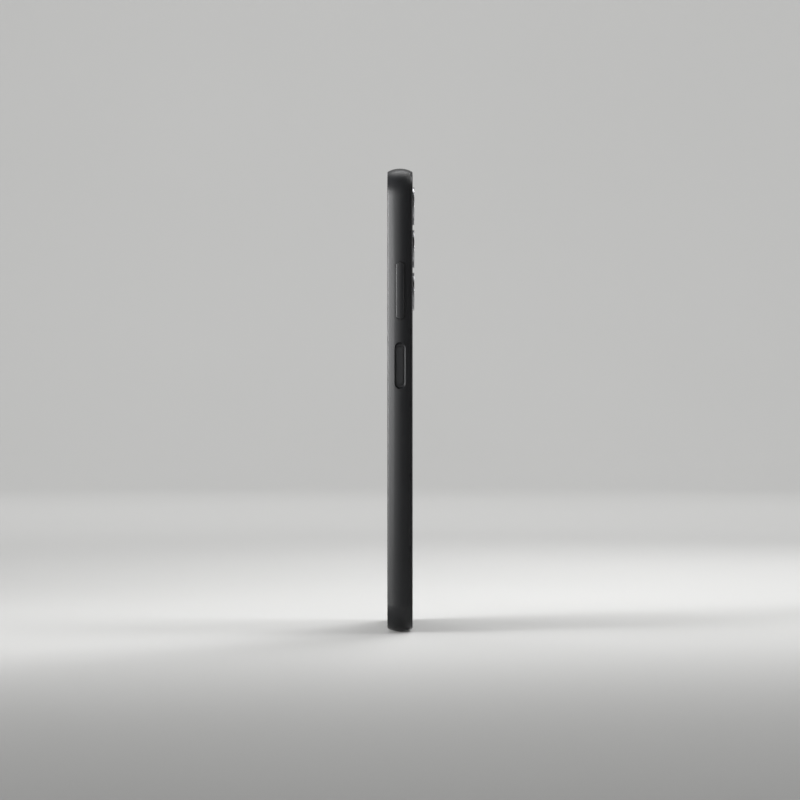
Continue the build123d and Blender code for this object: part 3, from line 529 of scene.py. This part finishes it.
def display_border():
    """The black ink printed behind the glass, from near its edge to the active area."""
    low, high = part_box("cover_glass")
    level = [high.y + depth for depth in INK_LAYER]
    outer = rounded_outline(
        (low.x + BORDER_LIP, high.x - BORDER_LIP), (low.z + BORDER_LIP, high.z - BORDER_LIP), BORDER_CORNER
    )
    inner = rounded_outline(
        (low.x + SIDE_BORDER, high.x - SIDE_BORDER), (low.z + CHIN, high.z - TOP_BORDER), ACTIVE_CORNER
    )
    settle(frame_plate("border_ink", outer, inner, level, INK), ROOT)


def front_camera_eye():
    """Ink ring and lens of the camera in the display."""
    centre = centre_of("front_camera")
    level = [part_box("cover_glass")[1].y + depth for depth in INK_LAYER]
    ring = flat_ring(EYE_OPENING, EYE_INK, level)
    settle(turned("front_camera_ink", centre, ring, INK), ROOT)
    lens = dome(EYE_LENS, EYE_RISE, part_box("front_camera")[0].y + EYE_DEPTH, -1)
    glass = coated_lens("front_lens_glass", (0.01, 0.012, 0.02), (0.5, 0.55, 1.0))
    settle(turned("front_camera_lens", centre, lens, glass, steps=48, closed=False), ROOT)


# ---------------------------------------------------------------- rear cameras
# by camera: its node and body, the barrel's bore, the opening in the ink, the gasket's bore that the hood
# fits, and the tint of the lens's coating
REAR_CAMERAS = {
    "upper": ("main_lens_barrel", "focus_lens", 2.6 * MM, 3.35 * MM, 3.85 * MM, (0.35, 0.75, 0.6)),
    "middle": ("wide_camera", ROOT, 2.3 * MM, 2.95 * MM, 3.3 * MM, (0.6, 0.45, 1.0)),
    "lower": ("macro_camera", ROOT, 1.5 * MM, 2.15 * MM, 2.5 * MM, (0.95, 0.6, 0.4)),
}
INK_MARGIN = 0.1 * MM  # clear of the window's edge
HOOD_STEPS, STEP_WALL = 6, 0.8  # the wall takes up this share of a step, and its slope the rest
HOOD_GAP, HOOD_LIFT, HOOD_OVER_BORE = 0.05 * MM, 0.35 * MM, 0.15 * MM
ELEMENT_GAP, ELEMENT_DEPTH, ELEMENT_RISE = 0.08 * MM, 0.12 * MM, 0.14  # the rise is a share of the bore


def rear_camera(place):
    """The ink, the stepped hood and the front lens element behind one window."""
    node, body, bore, opening, seat, film = REAR_CAMERAS[place]
    window_low, window_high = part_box(f"lens_window_{place}")
    centre = (window_low + window_high) / 2
    window_r = (window_high.x - window_low.x) / 2
    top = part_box(node)[1].y
    level = [window_low.y - depth for depth in INK_LAYER]
    ring = flat_ring(opening, window_r - INK_MARGIN, level)
    settle(turned(f"lens_ink_{place}", centre, ring, INK), ROOT)

    ceiling, floor = window_low.y - HOOD_GAP, top + HOOD_LIFT
    hood = [(seat - HOOD_GAP, floor), (seat - HOOD_GAP, ceiling)]
    for i in range(HOOD_STEPS):
        share = i / HOOD_STEPS
        radius = opening + (bore + HOOD_OVER_BORE - opening) * share
        hood += [
            (radius, ceiling + (floor - ceiling) * share),
            (radius, ceiling + (floor - ceiling) * (share + STEP_WALL / HOOD_STEPS)),
        ]
    settle(turned(f"lens_hood_{place}", centre, hood, FINISHES["camera_black"]), ROOT)

    front = coated_lens(f"front_element_{place}", (0.006, 0.007, 0.01), film)
    element = dome(bore - ELEMENT_GAP, ELEMENT_RISE * bore, top - ELEMENT_DEPTH, 1)
    lens = turned(f"front_element_{place}", centre, element, front, steps=72, closed=False)
    settle(lens, body)


# ---------------------------------------------------------------- flash
def flash_lens():
    """The light guide over the flash, with the ring-shaped teeth of a Fresnel lens in its face."""
    low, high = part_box("flash_window")
    outer = (high.x - low.x) / 2
    stem, shoulder = outer - 0.4 * MM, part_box("back_cover")[1].y - 0.7 * MM
    teeth, pitch, depth, draft = 7, 0.25 * MM, 0.09 * MM, 0.03 * MM
    chamfer, dimple = 0.05 * MM, 0.02 * MM
    profile = [(0.0, low.y), (stem, low.y), (stem, shoulder), (outer, shoulder), (outer, high.y - chamfer)]
    profile += [(outer - chamfer, high.y), (teeth * pitch, high.y)]
    for i in range(teeth, 1, -1):
        profile += [(i * pitch - draft, high.y - depth), ((i - 1) * pitch, high.y)]
    profile.append((0.0, high.y - dimple))
    lens = turned("flash_lens", centre_of("flash_window"), profile, FINISHES["flash_clear"], closed=False)
    settle(lens, ROOT)
    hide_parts("flash_window")


# ---------------------------------------------------------------- sockets
def rounded_bar(x, y, z, corner):
    """Points and faces of a bar along Z with rounded long edges."""
    outline = rounded_outline(x, y, corner, steps=4)
    count = len(outline)
    points = [(px, py, level) for level in z for px, py in outline]
    faces = [list(range(count)), list(range(count, 2 * count))]
    faces += [[i, (i + 1) % count, count + (i + 1) % count, count + i] for i in range(count)]
    return points, faces


def usb_contacts():
    """Two rows of gold contacts on the tongue. Those for ground and power start nearer to its tip."""
    low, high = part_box("usb_c_tongue")
    middle = (low.y + high.y) / 2
    half_tongue, sunk, proud = 0.35 * MM, 0.01 * MM, 0.02 * MM
    count, pitch, half_pad, edge = 12, 0.5 * MM, 0.13 * MM, 0.012 * MM
    long_pads, long_start, start, end = (0, 3, 8, 11), 0.45 * MM, 0.75 * MM, 3.6 * MM
    points, faces = [], []
    for side in (-1, 1):
        surface = middle + side * half_tongue
        levels = sorted((surface - side * sunk, surface + side * proud))
        for i in range(count):
            x = (i - (count - 1) / 2) * pitch
            ends = (low.z + (long_start if i in long_pads else start), low.z + end)
            bar, sides = rounded_bar((x - half_pad, x + half_pad), levels, ends, edge)
            faces += [[len(points) + k for k in face] for face in sides]
            points += bar
    settle(add_mesh("usb_contacts", points, faces, gold("contact_gold")), ROOT)


# ---------------------------------------------------------------- stage
FLOOR_MIDDLE_R, FLOOR_R, SWEEP_R, WALL_TOP = 0.4, 1.9, 0.7, 3.0
FLOOR_GAP = 0.1 * MM  # under the phone's foot


def stage():
    """A pale floor that sweeps up into a round wall."""
    steps, arc = 96, 16
    turns = [math.pi / 2 * i / arc for i in range(1, arc + 1)]
    profile = [(0.0, 0.0), (FLOOR_MIDDLE_R, 0.0), (FLOOR_R, 0.0)]
    profile += [(FLOOR_R + SWEEP_R * math.sin(t), SWEEP_R * (1 - math.cos(t))) for t in turns]
    profile.append((FLOOR_R + SWEEP_R, WALL_TOP))
    floor = turned_upright("studio_floor", profile, steps, stage_paint("studio_paint"))
    floor.location.z = -FLOOR_GAP


def around(azimuth, distance, height):
    """A place round the phone: azimuth 0 is out from the keys, and 90 from the back cover."""
    angle = math.radians(azimuth)
    return distance * math.cos(angle), distance * math.sin(angle), height


def softbox(name, place, aim, size, brightness, spread=180.0, mirrored=True):
    """A soft light, as wide and as high as size, that the camera itself doesn't see.

    A grid in front of it narrows its beam to spread degrees. One that isn't mirrored doesn't show in gloss.
    """
    light = bpy.data.lights.new(name, "AREA")
    light.shape = "RECTANGLE"
    light.size, light.size_y = size
    light.energy = brightness * math.pi * size[0] * size[1]
    light.spread = math.radians(spread)
    lamp = bpy.data.objects.new(name, light)
    bpy.context.scene.collection.objects.link(lamp)
    lamp.location = place
    lamp.rotation_mode = "QUATERNION"
    lamp.rotation_quaternion = (Vector(aim) - Vector(place)).to_track_quat("-Z", "Y")
    lamp.visible_camera = False
    lamp.visible_glossy = mirrored
    return lamp


GRID = 60.0  # degrees, the beam of a box with a grid in front of it
KEY_DISTANCE, KEY_FOOT, KEY_TOP = 0.6, 0.04, 0.36
# a row of soft boxes that fades towards the camera: from and to azimuth, and brightness
KEY_BOXES = ((-80, -54, 5.4), (-54, -28, 1.1), (-28, -2, 0.22))
TOP_DISTANCE, TOP_HEIGHT, TOP_SIZE = 0.9, 1.2, (0.6, 0.6)
RIM_WIDTH, RIM_HEIGHT = 0.14, 0.26
AIR_COLOR, AIR_BRIGHTNESS = (1.0, 1.0, 1.0, 1.0), 0.06


def key_lights():
    """The row of key boxes. They don't light the cover glass, which would mirror them as a white block."""
    receivers = bpy.data.collections.new("out_of_the_keys_light")
    receivers.objects.link(frame["nodes"]["cover_glass"])
    receivers.collection_objects[0].light_linking.link_state = "EXCLUDE"
    height = (KEY_FOOT + KEY_TOP) / 2
    for i, (start, end, brightness) in enumerate(KEY_BOXES):
        width = 2 * KEY_DISTANCE * math.tan(math.radians(end - start) / 2)
        place = around((start + end) / 2, KEY_DISTANCE, height)
        box = softbox(f"key_{i}", place, (0, 0, height), (width, KEY_TOP - KEY_FOOT), brightness, GRID)
        box.light_linking.receiver_collection = receivers


def other_lights(middle):
    """Boxes over, beside and behind the phone, and one for the wall. middle is half the phone's height."""
    phone, foot = (0, 0, middle), (0, 0, 0)
    softbox("overhead", (-0.22, 0, 0.9), phone, (0.5, 0.36), 3.2)
    softbox("left_top", around(-95, TOP_DISTANCE, TOP_HEIGHT), foot, TOP_SIZE, 5, mirrored=False)
    softbox("right_top", around(100, TOP_DISTANCE, TOP_HEIGHT), foot, TOP_SIZE, 6)
    rim_place = around(82, 0.8, KEY_FOOT + RIM_HEIGHT / 2)
    softbox("right_rim", rim_place, phone, (RIM_WIDTH, RIM_HEIGHT), 1.7, GRID)
    softbox("far_side", around(160, 0.9, 0.5), phone, (0.5, 0.5), 1.6, GRID, mirrored=False)
    softbox("backdrop", (-1.0, 0, 1.7), (-2.5, 0, 0.3), (1.4, 0.5), 18)


def air():
    """A faint even light from all round, shown with its colours as they are."""
    world = bpy.data.worlds.new("studio_air")
    world.use_nodes = True
    background = world.node_tree.nodes["Background"]
    background.inputs["Color"].default_value = AIR_COLOR
    background.inputs["Strength"].default_value = AIR_BRIGHTNESS
    bpy.context.scene.world = world
    bpy.context.scene.view_settings.view_transform = "Standard"


# ---------------------------------------------------------------- camera
LENS_LENGTH, SENSOR_WIDTH = 150.0, 36.0  # millimetres
HEIGHT_SHARE = 0.5784  # how much of the picture's height the phone takes up
CORNER_START = 0.029  # how far out from the middle its top edge is straight


def camera(low, high):
    """A long lens square on to the side with the keys. low and high are corners of the phone's box."""
    data = bpy.data.cameras.new("camera")
    data.lens, data.sensor_width = LENS_LENGTH, SENSOR_WIDTH
    data.clip_start, data.clip_end = 0.01, 20
    distance = (high.z - low.z) / HEIGHT_SHARE * LENS_LENGTH / SENSOR_WIDTH + CORNER_START
    made = bpy.data.objects.new("camera", data)
    bpy.context.scene.collection.objects.link(made)
    made.location = (distance, 0, (low.z + high.z) / 2)
    made.rotation_mode = "QUATERNION"
    made.rotation_quaternion = Vector((-1, 0, 0)).to_track_quat("-Z", "Y")
    bpy.context.scene.camera = made


# ---------------------------------------------------------------- the whole scene
camera(*cad_box)
dress_nodes()
display_border()
front_camera_eye()
for place in REAR_CAMERAS:
    rear_camera(place)
flash_lens()
usb_contacts()
stage()
key_lights()
other_lights((cad_box[0].z + cad_box[1].z) / 2)
air()
